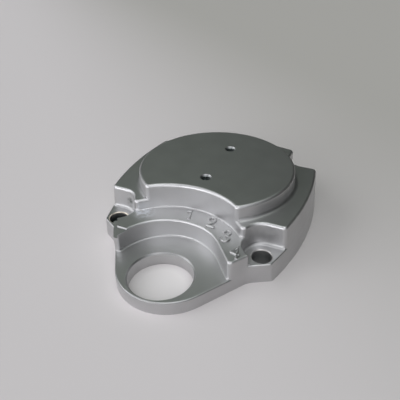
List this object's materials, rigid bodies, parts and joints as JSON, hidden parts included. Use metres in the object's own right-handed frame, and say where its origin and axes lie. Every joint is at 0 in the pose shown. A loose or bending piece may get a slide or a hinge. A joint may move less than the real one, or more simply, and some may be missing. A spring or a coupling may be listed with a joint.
{
  "type": "impact wrench cover",
  "caption": "Cast cover with a round drum, a bulged square flange with corner bolt pockets, a stepped curved band and an ear with a bore.",
  "frame": {"origin": "centre of the four bolt holes, on the flat mounting face", "axes": "+Z out of the mounting face towards the drum's top, -Y towards the ear, +X to the right of that"},
  "size_m": [0.12, 0.155, 0.035],
  "materials": {
    "cast_aluminium": "satin, bead-blasted"
  },
  "bodies": {
    "root": {"cover": "cast_aluminium"}
  },
  "joints": []
}
